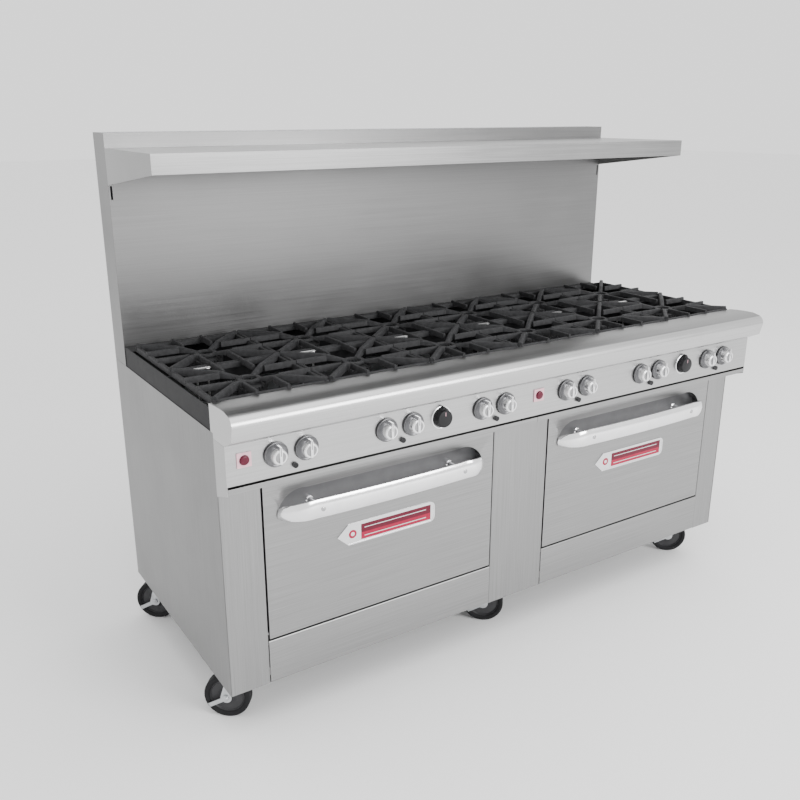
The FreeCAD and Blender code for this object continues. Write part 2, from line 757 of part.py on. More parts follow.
for i, x in enumerate(knob_places()):
    save("knob_%02d" % (i + 1), knob(x))
for side, x in zip(("left", "right"), dial_places):
    save("thermostat_" + side, dial(x))
for side, x in zip(("left", "right"), button_places):
    save("button_" + side, button(x))

grates = []
burners = []
for x in column_places:
    for row, y in enumerate(row_places()):
        grates.append(star_grate(x, y))
        mouth = x - knob_pair / 2 if row == 0 else x + knob_pair / 2
        burners.append(burner(x, y, mouth))
save("top_grates", *grates)
save("burners", *burners)

for i, (x, y) in enumerate(caster_axes()):
    save("caster_fork_%d" % (i + 1), caster_fork(x, y))
    save("caster_wheel_%d" % (i + 1), *caster_wheel(x, y))
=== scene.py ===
import bpy
import bmesh
import json
from math import cos, pi, radians, sin, sqrt
from mathutils import Matrix, Vector


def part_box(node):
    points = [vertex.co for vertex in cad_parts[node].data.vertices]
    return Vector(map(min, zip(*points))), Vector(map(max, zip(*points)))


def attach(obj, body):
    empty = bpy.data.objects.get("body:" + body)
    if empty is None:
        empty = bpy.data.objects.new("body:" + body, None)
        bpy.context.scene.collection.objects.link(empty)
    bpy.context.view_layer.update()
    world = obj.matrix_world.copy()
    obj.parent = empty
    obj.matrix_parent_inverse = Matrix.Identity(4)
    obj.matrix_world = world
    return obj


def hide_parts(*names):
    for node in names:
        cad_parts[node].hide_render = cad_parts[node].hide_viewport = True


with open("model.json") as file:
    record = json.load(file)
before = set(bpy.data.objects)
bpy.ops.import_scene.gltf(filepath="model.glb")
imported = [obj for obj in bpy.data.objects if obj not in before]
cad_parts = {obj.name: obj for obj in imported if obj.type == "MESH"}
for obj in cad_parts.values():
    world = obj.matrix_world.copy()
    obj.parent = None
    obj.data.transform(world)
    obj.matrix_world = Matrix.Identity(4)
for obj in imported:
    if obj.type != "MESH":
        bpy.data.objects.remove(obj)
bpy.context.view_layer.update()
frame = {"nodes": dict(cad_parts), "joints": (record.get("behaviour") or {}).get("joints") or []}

# ---- Base frame -------------------------------------------------------------
# A welded ladder of square steel tube with six caster plates under it. The tube
# keeps its dark mill finish, a little streaked and mottled by handling.


def mottled(name, colour, metal, rough, spread=0.12, scale=40.0, relief=0.0002, coat=0.0, shine=0.5):
    """A finish whose tone, gloss and skin vary a little, as rolled or moulded stock does."""
    finish = bpy.data.materials.new(name)
    finish.use_nodes = True
    nodes, link = finish.node_tree.nodes, finish.node_tree.links.new
    shader = nodes["Principled BSDF"]
    shader.inputs["Metallic"].default_value = metal
    shader.inputs["Coat Weight"].default_value = coat
    shader.inputs["Coat Roughness"].default_value = 0.12
    shader.inputs["Specular IOR Level"].default_value = shine
    place = nodes.new("ShaderNodeTexCoord")
    cloud = nodes.new("ShaderNodeTexNoise")
    cloud.inputs["Scale"].default_value = scale
    cloud.inputs["Detail"].default_value = 5.0
    link(place.outputs["Object"], cloud.inputs["Vector"])
    tone = nodes.new("ShaderNodeValToRGB")
    tone.color_ramp.elements[0].position = 0.3
    tone.color_ramp.elements[1].position = 0.7
    tone.color_ramp.elements[0].color = [c * (1 - spread) for c in colour] + [1]
    tone.color_ramp.elements[1].color = [min(1, c * (1 + spread)) for c in colour] + [1]
    link(cloud.outputs["Fac"], tone.inputs["Fac"])
    link(tone.outputs["Color"], shader.inputs["Base Color"])
    gloss = nodes.new("ShaderNodeMapRange")
    gloss.inputs["To Min"].default_value = rough * 0.8
    gloss.inputs["To Max"].default_value = min(1.0, rough * 1.2)
    link(cloud.outputs["Fac"], gloss.inputs["Value"])
    link(gloss.outputs["Result"], shader.inputs["Roughness"])
    grit = nodes.new("ShaderNodeTexNoise")
    grit.inputs["Scale"].default_value = scale * 20
    grit.inputs["Detail"].default_value = 3.0
    link(place.outputs["Object"], grit.inputs["Vector"])
    skin = nodes.new("ShaderNodeBump")
    skin.inputs["Strength"].default_value = 0.5
    skin.inputs["Distance"].default_value = relief
    link(grit.outputs["Fac"], skin.inputs["Height"])
    link(skin.outputs["Normal"], shader.inputs["Normal"])
    return finish


def coat(node, finish, slot):
    """Gives its finish to a piece whose modelled shape is already right."""
    data = frame["nodes"][node].data
    data.materials.clear()
    data.materials.append(finish)


mill_steel = mottled("mill_steel", (0.13, 0.13, 0.135), 0.6, 0.45)
coat("base_frame", mill_steel, "frame_steel")

# ---- Casters ----------------------------------------------------------------
# Six swivel casters: a zinc-plated pressed fork under a ball race, and a dark
# rubber tyre moulded on a hard core, with a bright nut at each end of the axle.


def piece(name, bm, finishes, body, nodes=(), ease=0.0, steps=2, crease=38):
    """One finished piece: faces turned outwards, edges eased, finish and body set."""
    bmesh.ops.remove_doubles(bm, verts=bm.verts, dist=1e-6)
    bmesh.ops.recalc_face_normals(bm, faces=bm.faces)
    data = bpy.data.meshes.new(name)
    bm.to_mesh(data)
    bm.free()
    data.shade_smooth()
    data.set_sharp_from_angle(angle=radians(crease))
    for finish in finishes if isinstance(finishes, (list, tuple)) else [finishes]:
        data.materials.append(finish)
    obj = bpy.data.objects.new(name, data)
    bpy.context.scene.collection.objects.link(obj)
    if ease:
        soft = obj.modifiers.new("eased_edges", "BEVEL")
        soft.width = ease
        soft.segments = steps
        soft.limit_method = "ANGLE"
        soft.angle_limit = radians(crease)
        soft.harden_normals = True
    if nodes:
        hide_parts(*nodes)
    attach(obj, body)
    return obj


def cad_copy(node):
    """A welded copy of a modelled piece's mesh, with its flat faces made whole again."""
    bm = bmesh.new()
    bm.from_mesh(frame["nodes"][node].data)
    for face in bm.faces:
        face.material_index = 0
    bmesh.ops.remove_doubles(bm, verts=bm.verts, dist=1e-6)
    bmesh.ops.dissolve_limit(bm, angle_limit=radians(1), verts=bm.verts, edges=bm.edges)
    return bm


def add_turned(bm, profile, centre, axis, sides=48, mat=0):
    """Turns a (radius, height) outline about an axis, closing its poles."""
    axis = Vector(axis).normalized()
    across = axis.orthogonal().normalized()
    beside = axis.cross(across)
    rings = []
    for radius, lift in profile:
        middle = Vector(centre) + axis * lift
        if radius < 1e-7:
            rings.append([bm.verts.new(middle)])
            continue
        turns = [2 * pi * i / sides for i in range(sides)]
        rings.append([bm.verts.new(middle + (across * cos(t) + beside * sin(t)) * radius) for t in turns])
    for low, high in zip(rings, rings[1:]):
        for i in range(sides):
            j = (i + 1) % sides
            quad = [low[i % len(low)], low[j % len(low)], high[j % len(high)], high[i % len(high)]]
            corners = list(dict.fromkeys(quad))
            if len(corners) > 2:
                bm.faces.new(corners).material_index = mat


joint_of = {joint["child"]: joint for joint in frame["joints"]}
zinc = mottled("zinc_plate", (0.50, 0.51, 0.52), 0.95, 0.30, 0.10, 60.0)
rubber = mottled("tyre_rubber", (0.010, 0.010, 0.011), 0.0, 0.65, 0.25, 90.0, 0.0004, shine=0.2)
core_plastic = mottled("wheel_core", (0.032, 0.032, 0.034), 0.0, 0.45, 0.15, 70.0, shine=0.3)
tyre_r, tyre_half, core_r, tyre_round = 0.0635, 0.016, 0.0515, 0.004
shoulder = [(tyre_r - tyre_round + tyre_round * sin(pi / 12 * k),
             -tyre_half + tyre_round * (1 - cos(pi / 12 * k))) for k in range(7)]
tyre_side = [(core_r - 0.003, -tyre_half + 0.003), (core_r, -tyre_half + 0.0005)] + shoulder
core_side = [(core_r, -0.0105), (0.047, -0.0125), (0.044, -0.0085), (0.025, -0.0085), (0.021, -0.0125),
             (0.016, -0.0175), (0.0075, -0.018), (0.0051, -0.0178)]
for i in range(1, 7):
    fork, wheel = "caster_fork_%d" % i, "caster_wheel_%d" % i
    hub, axle = Vector(joint_of[wheel]["pos_m"]), Vector(joint_of[wheel]["axis"])
    piece(fork, cad_copy(fork), zinc, fork, [fork], ease=0.0007)
    bm = bmesh.new()
    for side in (-1, 1):
        nut = [(0.0, 0.0275), (0.0052, 0.0275), (0.0065, 0.0262), (0.0082, 0.0262), (0.0088, 0.0255),
               (0.0088, 0.0215), (0.0, 0.0215)]
        add_turned(bm, nut, hub, axle * side, 6 if side < 0 else 24)
    piece("axle_nuts_%d" % i, bm, zinc, fork)
    bm = bmesh.new()
    tyre = tyre_side + [(r, -h) for r, h in reversed(tyre_side)]
    core = core_side + [(r, -h) for r, h in reversed(core_side)]
    add_turned(bm, tyre + tyre[:1], hub, axle, 64, 0)
    add_turned(bm, core + core[:1], hub, axle, 40, 1)
    piece(wheel, bm, [rubber, core_plastic], wheel, [wheel])

# ---- Body panels ------------------------------------------------------------
# Side panels, posts and kick panels are brushed stainless sheet, folded with a
# small outside radius. The grain runs along each panel's long way.


def brushed(name, tone, rough, stretch, streak=0.03, wave=0.0):
    """Brushed stainless: fine streaks along the grain, faint smudges and slow waves over them."""
    finish = bpy.data.materials.new(name)
    finish.use_nodes = True
    nodes, link = finish.node_tree.nodes, finish.node_tree.links.new
    shader = nodes["Principled BSDF"]
    shader.inputs["Metallic"].default_value = 1.0
    place = nodes.new("ShaderNodeTexCoord")
    along = nodes.new("ShaderNodeMapping")
    along.inputs["Scale"].default_value = stretch
    link(place.outputs["Object"], along.inputs["Vector"])
    hair = nodes.new("ShaderNodeTexNoise")
    hair.inputs["Scale"].default_value = 1.0
    hair.inputs["Detail"].default_value = 4.0
    hair.inputs["Roughness"].default_value = 0.7
    link(along.outputs["Vector"], hair.inputs["Vector"])
    smudge = nodes.new("ShaderNodeTexNoise")
    smudge.inputs["Scale"].default_value = 5.0
    smudge.inputs["Detail"].default_value = 6.0
    link(place.outputs["Object"], smudge.inputs["Vector"])
    tones = nodes.new("ShaderNodeValToRGB")
    tones.color_ramp.elements[0].position = 0.35
    tones.color_ramp.elements[1].position = 0.65
    tones.color_ramp.elements[0].color = (tone - streak, tone - streak, tone - streak, 1)
    tones.color_ramp.elements[1].color = (tone + streak, tone + streak, tone + streak, 1)
    link(hair.outputs["Fac"], tones.inputs["Fac"])
    link(tones.outputs["Color"], shader.inputs["Base Color"])
    both = nodes.new("ShaderNodeMath")
    both.operation = "ADD"
    link(hair.outputs["Fac"], both.inputs[0])
    link(smudge.outputs["Fac"], both.inputs[1])
    gloss = nodes.new("ShaderNodeMapRange")
    gloss.inputs["From Min"].default_value = 0.6
    gloss.inputs["From Max"].default_value = 1.4
    gloss.inputs["To Min"].default_value = rough * 0.8
    gloss.inputs["To Max"].default_value = rough * 1.2
    link(both.outputs["Value"], gloss.inputs["Value"])
    link(gloss.outputs["Result"], shader.inputs["Roughness"])
    scratch = nodes.new("ShaderNodeBump")
    scratch.inputs["Strength"].default_value = 0.15
    scratch.inputs["Distance"].default_value = 0.00025
    link(hair.outputs["Fac"], scratch.inputs["Height"])
    last = scratch
    if wave:
        swell = nodes.new("ShaderNodeTexNoise")
        swell.inputs["Scale"].default_value = 1.7
        swell.inputs["Detail"].default_value = 1.0
        link(place.outputs["Object"], swell.inputs["Vector"])
        last = nodes.new("ShaderNodeBump")
        last.inputs["Strength"].default_value = 1.0
        last.inputs["Distance"].default_value = wave
        link(swell.outputs["Fac"], last.inputs["Height"])
        link(scratch.outputs["Normal"], last.inputs["Normal"])
    link(last.outputs["Normal"], shader.inputs["Normal"])
    return finish


def add_block(bm, low, high, mat=0):
    low, high = Vector(low), Vector(high)
    made = bmesh.ops.create_cube(bm, size=1)["verts"]
    for v in made:
        v.co = (low + high) / 2 + Vector([a * b for a, b in zip(v.co, high - low)])
    for face in {f for v in made for f in v.link_faces}:
        face.material_index = mat


def folded_path(points, radius, steps=4):
    """A bent strip's outline: straight runs joined by fold arcs of one radius."""
    path = [Vector(points[0])]
    for a, b, c in zip(points, points[1:], points[2:]):
        a, b, c = Vector(a), Vector(b), Vector(c)
        u, v = (a - b).normalized(), (c - b).normalized()
        half = u.angle(v) / 2
        reach = min(radius * cos(half) / sin(half), (a - b).length * 0.49, (c - b).length * 0.49)
        centre = b + (u + v).normalized() * (reach / cos(half))
        start = b + u * reach
        for k in range(steps + 1):
            spot = start.lerp(b + v * reach, k / steps)
            path.append(centre + (spot - centre).normalized() * (start - centre).length)
    path.append(Vector(points[-1]))
    return path


def add_folded(bm, points, thick, radius, place, low, high):
    """Folds a strip of sheet whose outer face follows 2D points, from low to high."""
    outer = folded_path(points, radius)
    inner = []
    for i, p in enumerate(outer):
        run = outer[min(i + 1, len(outer) - 1)] - outer[max(i - 1, 0)]
        inner.append(p + Vector((-run.y, run.x)).normalized() * thick)
    rows = [[bm.verts.new(place(p, at)) for p in outer + inner[::-1]] for at in (low, high)]
    count = len(rows[0])
    for i in range(count):
        j = (i + 1) % count
        bm.faces.new((rows[0][i], rows[0][j], rows[1][j], rows[1][i]))
    for row in rows:
        for i in range(count // 2 - 1):
            bm.faces.new((row[i], row[i + 1], row[count - 2 - i], row[count - 1 - i]))


steel_across = brushed("stainless_across", 0.30, 0.36, (3.0, 420.0, 420.0))
steel_upright = brushed("stainless_upright", 0.29, 0.36, (420.0, 420.0, 3.0))
# Painted shade: the side panels' stainless is given a darker tone than the front sheet of the same stock.
side_painted_shade_steel = brushed("stainless_side_painted_shade", 0.235, 0.40, (420.0, 420.0, 3.0), wave=0.0012)
sheet, fold = 0.0015, 0.003

for node in ("side_panel_left", "side_panel_right"):
    bm = bmesh.new()
    add_block(bm, *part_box(node))
    piece(node, bm, side_painted_shade_steel, "range", [node], ease=0.0006)

for node in ("front_column_left", "front_column_centre", "front_column_right"):
    low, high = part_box(node)
    bm = bmesh.new()
    outline = [(low[0], high[1]), (low[0], low[1]), (high[0], low[1]), (high[0], high[1])]
    add_folded(bm, outline, sheet, fold, lambda p, at: Vector((p.x, p.y, at)), low[2], high[2])
    piece(node, bm, steel_upright, "range", [node])

for node in ("kick_panel_left", "kick_panel_right"):
    low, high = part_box(node)
    bm = bmesh.new()
    outline = [(high[1], high[2]), (low[1], high[2]), (low[1], low[2]), (high[1], low[2])]
    add_folded(bm, outline, sheet, fold, lambda p, at: Vector((at, p.x, p.y)), low[0], high[0])
    piece(node, bm, steel_across, "range", [node])

# ---- Rear panel -------------------------------------------------------------
# Plain galvanised sheet that closes the back of the body. Pressed louvres in it
# cool the ovens, and sheet-metal screws hold it along its edges.


def node_in(group, kind, inputs=(), **settings):
    """Adds one node to a tree, with its settings and its inputs set or joined up."""
    made = group.nodes.new(kind)
    for name, value in settings.items():
        setattr(made, name, value)
    for name, value in dict(inputs).items():
        if isinstance(value, bpy.types.NodeSocket):
            group.links.new(value, made.inputs[name])
        else:
            made.inputs[name].default_value = value
    return made


def tree(name, sizes):
    """An empty node tree with named inputs and one geometry result."""
    group = bpy.data.node_groups.new(name, "GeometryNodeTree")
    group.interface.new_socket("Geometry", in_out="OUTPUT", socket_type="NodeSocketGeometry")
    for label, kind in sizes:
        group.interface.new_socket(label, in_out="INPUT", socket_type="NodeSocket" + kind)
    return group, group.nodes.new("NodeGroupInput").outputs, group.nodes.new("NodeGroupOutput")


rows_tree, given, result = tree("laid_in_rows", [
    ("Geometry", "Geometry"), ("Start", "Vector"), ("First Step", "Vector"), ("First Count", "Int"),
    ("Second Step", "Vector"), ("Second Count", "Int"), ("Finish", "Material")])
row = node_in(rows_tree, "GeometryNodeMeshLine",
              {"Count": given["First Count"], "Start Location": given["Start"],
               "Offset": given["First Step"]}, mode="OFFSET")
one_row = node_in(rows_tree, "GeometryNodeInstanceOnPoints",
                  {"Points": row.outputs[0], "Instance": given["Geometry"]})
column = node_in(rows_tree, "GeometryNodeMeshLine",
                 {"Count": given["Second Count"], "Offset": given["Second Step"]}, mode="OFFSET")
all_rows = node_in(rows_tree, "GeometryNodeInstanceOnPoints",
                   {"Points": column.outputs[0], "Instance": one_row.outputs[0]})
solid = node_in(rows_tree, "GeometryNodeRealizeInstances", {"Geometry": all_rows.outputs[0]})
finished = node_in(rows_tree, "GeometryNodeSetMaterial",
                   {"Geometry": solid.outputs[0], "Material": given["Finish"]})
rows_tree.links.new(finished.outputs[0], result.inputs[0])


def grown(name, group, seed, sizes):
    """Runs a tree on a small seed mesh and returns the plain result as a bmesh."""
    data = bpy.data.meshes.new(name)
    seed.to_mesh(data)
    seed.free()
    obj = bpy.data.objects.new(name, data)
    bpy.context.scene.collection.objects.link(obj)
    grow = obj.modifiers.new("grow", "NODES")
    grow.node_group = group
    for item in group.interface.items_tree:
        if item.in_out == "INPUT" and item.name in sizes:
            grow[item.identifier] = sizes[item.name]
    bpy.context.view_layer.update()
    plain = bpy.data.meshes.new_from_object(obj.evaluated_get(bpy.context.evaluated_depsgraph_get()))
    obj.modifiers.remove(grow)
    bpy.data.objects.remove(obj)
    bm = bmesh.new()
    bm.from_mesh(plain)
    for face in bm.faces:
        face.material_index = 0
    return bm


def add_extruded(bm, outline, place, low, high, mat=0):
    """A closed 2D outline carried from low to high, with both ends closed."""
    rows = [[bm.verts.new(place(p, at)) for p in outline] for at in (low, high)]
    count = len(outline)
    for i in range(count):
        j = (i + 1) % count
        bm.faces.new((rows[0][i], rows[0][j], rows[1][j], rows[1][i])).material_index = mat
    for row in rows:
        bm.faces.new(row).material_index = mat


galvanised = mottled("galvanised_sheet", (0.36, 0.37, 0.38), 0.9, 0.42, 0.16, 18.0)
coat("rear_panel", galvanised, "stainless")
low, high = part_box("rear_panel")
back_y = high[1]
louvre = bmesh.new()
scoop = [(-0.0005, 0.009), (0.004, 0.0075), (0.007, 0.003), (0.008, -0.003), (0.008, -0.009),
         (0.0065, -0.009), (0.0055, 0.002), (0.003, 0.0055), (-0.0005, 0.007)]
add_extruded(louvre, [Vector(p) for p in scoop], lambda p, at: Vector((at, p.x, p.y)), -0.045, 0.045)
louvres = grown("louvres", rows_tree, louvre, {
    "Start": (low[0] + 0.30, back_y, low[2] + 0.12), "First Step": (0.31, 0, 0), "First Count": 5,
    "Second Step": (0, 0, 0.035), "Second Count": 6, "Finish": galvanised})
piece("rear_louvres", louvres, galvanised, "range")


def screw_head(out, radius=0.0045):
    """A small pan head, standing along one direction."""
    bm = bmesh.new()
    dome = [(0.0, 0.0028), (radius * 0.55, 0.0025), (radius * 0.88, 0.0016), (radius, 0.0),
            (radius, -0.0006), (0.0, -0.0006)]
    add_turned(bm, dome, (0, 0, 0), out, 12)
    return bm


screw_steel = mottled("screw_steel", (0.46, 0.46, 0.47), 1.0, 0.28, 0.10, 90.0)
wide, tall = high[0] - low[0], high[2] - low[2]
screws = grown("rear_screws", rows_tree, screw_head((0, 1, 0)), {
    "Start": (low[0] + 0.02, back_y, low[2] + 0.015),
    "First Step": ((wide - 0.04) / 9, 0, 0), "First Count": 10,
    "Second Step": (0, 0, (tall - 0.05) / 3), "Second Count": 4, "Finish": screw_steel})
piece("rear_screws", screws, screw_steel, "range")

# ---- Ovens ------------------------------------------------------------------
# Welded cavities in black porcelain enamel with fine pale flecks, one behind
# each door. Pressed runners on the side walls carry a plated wire rack.

oven_enamel = mottled("oven_enamel", (0.045, 0.047, 0.052), 0.0, 0.25, 0.6, 260.0, 0.0001, coat=0.4)
rack_chrome = mottled("rack_chrome", (0.62, 0.62, 0.64), 1.0, 0.18, 0.05, 50.0)
wire_r, stay_r, rod_r, wire_count = 0.0025, 0.0036, 0.004, 13


def wire(bm, start, end, radius, sides=8):
    """A straight wire with a rounded nose at each end."""
    run = Vector(end) - Vector(start)
    reach = run.length
    nose = [(0.0, 0.0), (radius * 0.7, radius * 0.3), (radius, radius)]
    add_turned(bm, nose + [(r, reach - h) for r, h in reversed(nose)], start, run, sides)


for side in ("left", "right"):
    coat("oven_" + side, oven_enamel, "oven_enamel")
    low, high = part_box("rack_" + side)
    mid_z = low[2] + 0.0045
    seed = bmesh.new()
    wire(seed, (0, 0, 0), (0, high[1] - low[1] - 0.003, 0), wire_r)
    step = (high[0] - low[0] - 2 * rod_r) / (wire_count + 1)
    bm = grown("rack_wires_" + side, rows_tree, seed, {
        "Start": (low[0] + rod_r + step, low[1] + 0.0015, mid_z + 0.0038),
        "First Step": (step, 0, 0), "First Count": wire_count, "Second Count": 1, "Finish": rack_chrome})
    for x in (low[0] + rod_r, high[0] - rod_r):
        wire(bm, (x, low[1], mid_z), (x, high[1], mid_z), rod_r, 12)
    for y in (low[1] + 0.005, low[1] + 0.205, low[1] + 0.405, high[1] - 0.005):
        wire(bm, (low[0] + 0.002, y, mid_z), (high[0] - 0.002, y, mid_z), stay_r, 12)
    piece("rack_" + side, bm, rack_chrome, "range", ["rack_" + side])

# ---- Doors ------------------------------------------------------------------
# Each door is a stainless skin with a pressed finger recess, over an inner pan.
# A bright crowned bar bows across the recess on two posts, riveted at its front.

door_steel = brushed("door_stainless", 0.30, 0.36, (3.0, 420.0, 420.0), wave=0.0006)
# Painted shade: the faces inside the finger recess get a darker steel tone than the door skin.
recess_painted_shade = mottled("recess_painted_shade", (0.17, 0.17, 0.175), 0.9, 0.42, 0.10, 30.0)
pan_steel = mottled("pan_steel", (0.30, 0.30, 0.31), 0.9, 0.4, 0.16, 22.0)
bright = mottled("polished_bar", (0.94, 0.94, 0.95), 1.0, 0.14, 0.04, 30.0)
badge_red = mottled("badge_red", (0.32, 0.008, 0.04), 0.0, 0.4, 0.12, 90.0, shine=0.25)
badge_maroon = mottled("badge_maroon", (0.11, 0.006, 0.02), 0.0, 0.4, 0.12, 90.0, shine=0.25)
badge_edge = mottled("badge_edge", (0.78, 0.78, 0.79), 1.0, 0.2, 0.04, 60.0)
gasket = mottled("door_gasket", (0.05, 0.05, 0.05), 0.0, 0.8, 0.3, 150.0, 0.0006)
handle_low, handle_high = 0.598, 0.650
recess_half, recess_low, recess_high = 0.32, 0.597, 0.671
post_x, post_z, post_sunk = 0.220, 0.620, 0.024


def arc_through(a, b, c, steps):
    """Points on the circle through three 2D points, from the first to the last."""
    a, b, c = Vector(a), Vector(b), Vector(c)
    d = 2 * (a.x * (b.y - c.y) + b.x * (c.y - a.y) + c.x * (a.y - b.y))
    aa, bb, cc = a.length_squared, b.length_squared, c.length_squared
    ux = (aa * (b.y - c.y) + bb * (c.y - a.y) + cc * (a.y - b.y)) / d
    uy = (aa * (c.x - b.x) + bb * (a.x - c.x) + cc * (b.x - a.x)) / d
    centre = Vector((ux, uy))
    total = (a - centre).angle_signed(b - centre) + (b - centre).angle_signed(c - centre)
    return [centre + Matrix.Rotation(-total * k / steps, 2) @ (a - centre) for k in range(steps + 1)]


def add_handle(bm, x_mid, face, low, high):
    """The crowned bar: a lens-shaped section carried along the bar's bow."""
    reach, shoulder_x, stand, bow, drop = 0.316, 0.236, 0.045, 0.051, 0.026
    end = arc_through((-reach, 0.0), (-reach + 0.024, -stand * 0.68), (-shoulder_x, -stand), 12)
    middle = arc_through((-shoulder_x, -stand), (0.0, -bow), (shoulder_x, -stand), 40)
    path = end + middle[1:] + [Vector((-p.x, p.y)) for p in reversed(end)][1:]
    half, crown, taper_from, taper_run = 0.0032, 0.0042, 0.238, 0.0785
    angles = [radians(-90 + 180 * k / 10) for k in range(11)]
    rings = []
    for i, p in enumerate(path):
        run = path[min(i + 1, len(path) - 1)] - path[max(i - 1, 0)]
        out = Vector((run.y, -run.x)).normalized()
        over = max(0.0, abs(p.x) - taper_from) / taper_run
        top = high - drop + drop * sqrt(max(0.0, 1 - over * over))
        mid, tall = (low + top) / 2, (top - low) / 2
        ring = []
        for t in angles:
            q = p + out * (half * cos(t) ** 0.4 + crown * cos(t) ** 2)
            ring.append(bm.verts.new((x_mid + q.x, face + min(q.y, 0.0), mid + tall * sin(t))))
        for t in angles[-2:0:-1]:
            q = p - out * (half * cos(t) ** 0.4)
            ring.append(bm.verts.new((x_mid + q.x, face + min(q.y, 0.0), mid + tall * sin(t))))
        rings.append(ring)
    for a, b in zip(rings, rings[1:]):
        for i in range(len(a)):
            j = (i + 1) % len(a)
            bm.faces.new((a[i], a[j], b[j], b[i]))
    bm.faces.new(rings[0])
    bm.faces.new(rings[-1])
    post = [(0.0, 0.0), (0.011, 0.0), (0.011, 0.002), (0.008, 0.004),
            (0.008, post_sunk + stand - 0.001), (0.0, 0.068)]
    for x in (-post_x, post_x):
        add_turned(bm, post, (x_mid + x, face + post_sunk, post_z), (0, -1, 0), 24)


def badge_outline(low, high, inset):
    """A plate pointed at its left end and rounded at its right."""
    mid, point, round_end = (low[2] + high[2]) / 2, 0.033, 0.016
    outline = [Vector((low[0] + inset * 1.5, mid)), Vector((low[0] + point, low[2] + inset))]
    for start, z in ((-90, low[2] + round_end), (0, high[2] - round_end)):
        for k in range(7):
            t = radians(start + 15 * k)
            r = round_end - inset
            outline.append(Vector((high[0] - round_end + r * cos(t), z + r * sin(t))))
    outline.append(Vector((low[0] + point, high[2] - inset)))
    return outline


for side in ("left", "right"):
    body = "door_" + side
    low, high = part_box(body + "_skin")
    x_mid, face = (low[0] + high[0]) / 2, low[1]
    bm = cad_copy(body + "_skin")
    # Faces set back inside the recess take the painted-shade tone.
    for f in bm.faces:
        spot = f.calc_center_median()
        in_shaded_recess = abs(spot.x - x_mid) < recess_half and recess_low < spot.z < recess_high
        if in_shaded_recess and spot.y > face + 0.0003:
            f.material_index = 1
    piece(body + "_skin", bm, [door_steel, recess_painted_shade], body, [body + "_skin"],
          ease=0.0007)
    piece(body + "_liner", cad_copy(body + "_liner"), pan_steel, body,
          [body + "_liner"], ease=0.0006)
    low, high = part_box(body + "_liner")
    bm = bmesh.new()
    frame_path = [(low[0] + 0.05, low[2] + 0.05), (high[0] - 0.05, low[2] + 0.05),
                  (high[0] - 0.05, high[2] - 0.05), (low[0] + 0.05, high[2] - 0.05)]
    for a, b in zip(frame_path, frame_path[1:] + frame_path[:1]):
        wire(bm, (a[0], high[1] + 0.0005, a[1]), (b[0], high[1] + 0.0005, b[1]), 0.0035, 10)
    piece(body + "_gasket", bm, gasket, body)
    bm = bmesh.new()
    add_handle(bm, x_mid, face, handle_low, handle_high)
    piece(body + "_handle", bm, bright, body, [body + "_handle"])
    bm = bmesh.new()
    for x in (-post_x, post_x):
        rivet = [(0.0, 0.0098), (0.004, 0.0095), (0.0062, 0.0085), (0.0068, 0.006), (0.0, 0.006)]
        add_turned(bm, rivet, (x_mid + x, face - 0.0455, 0.6235), (0, -1, 0), 24)
    piece(body + "_rivets", bm, screw_steel, body)

    low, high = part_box(body + "_badge")
    bm = bmesh.new()
    upright = lambda p, at: Vector((p.x, at, p.y))
    rim, field = badge_outline(low, high, 0.0), badge_outline(low, high, 0.0035)
    add_extruded(bm, rim, upright, face, face - 0.0016)
    levels = [(rim, face - 0.0016), (rim, face - 0.0025), (field, face - 0.0025), (field, face - 0.0016)]
    loops = [[bm.verts.new(upright(p, at)) for p in line] for line, at in levels]
    for a, b in zip(loops, loops[1:] + loops[:1]):
        for i in range(len(a)):
            j = (i + 1) % len(a)
            bm.faces.new((a[i], a[j], b[j], b[i]))
    add_extruded(bm, field, upright, face - 0.0015, face - 0.0018)
    mid = (low[2] + high[2]) / 2
    for mat, z0, z1 in ((1, low[2] + 0.008, mid - 0.002), (2, mid - 0.002, high[2] - 0.008)):
        add_block(bm, (low[0] + 0.072, face - 0.0022, z0), (high[0] - 0.014, face - 0.0015, z1), mat)
    add_turned(bm, [(0.0, 0.0024), (0.0105, 0.0024), (0.012, 0.0020), (0.012, 0.0014), (0.0, 0.0014)],
               (low[0] + 0.046, face, mid), (0, -1, 0), 32, 1)
    add_turned(bm, [(0.0, 0.0025), (0.0055, 0.0025), (0.0065, 0.0022), (0.0, 0.0022)],
               (low[0] + 0.046, face, mid), (0, -1, 0), 24)
    for z in (mid - 0.0135, mid + 0.010):
        add_block(bm, (low[0] + 0.082, face - 0.0025, z), (high[0] - 0.030, face - 0.0021, z + 0.002))
    piece(body + "_badge", bm, [badge_edge, badge_red, badge_maroon], body,
          [body + "_badge"])

# ---- Gas manifold -----------------------------------------------------------
# A mill-finish pipe behind the control panel feeds a brass-bodied valve for
# every knob. Black pilot screws come out through the panel under each pair.

black_plastic = mottled("dial_black", (0.010, 0.010, 0.011), 0.0, 0.42, 0.2, 120.0, shine=0.25)
panel_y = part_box("control_panel")[0][1] + 0.003
bm = cad_copy("gas_manifold")
for f in bm.faces:
    if f.calc_center_median().y < panel_y + 0.006:
        f.material_index = 1
piece("gas_manifold", bm, [mill_steel, black_plastic], "range", ["gas_manifold"],
      ease=0.0005)

# ---- Burner box and burners -------------------------------------------------
# The chassis of the cooking top is black enamel. Cast burners stand in it on
# their venturis, each with a crown of flame ports, and pilot tubes between rows.

black_enamel = mottled("black_enamel", (0.017, 0.017, 0.018), 0.0, 0.62, 0.25, 30.0, shine=0.2)
cast_iron = mottled("cast_iron", (0.024, 0.024, 0.0255), 0.0, 0.66, 0.4, 90.0, 0.0009, shine=0.28)
pilot_tube = mottled("pilot_tube", (0.62, 0.62, 0.62), 1.0, 0.3, 0.1, 80.0)
coat("burner_box", black_enamel, "black_enamel")
piece("burners", cad_copy("burners"), cast_iron, "range", ["burners"])

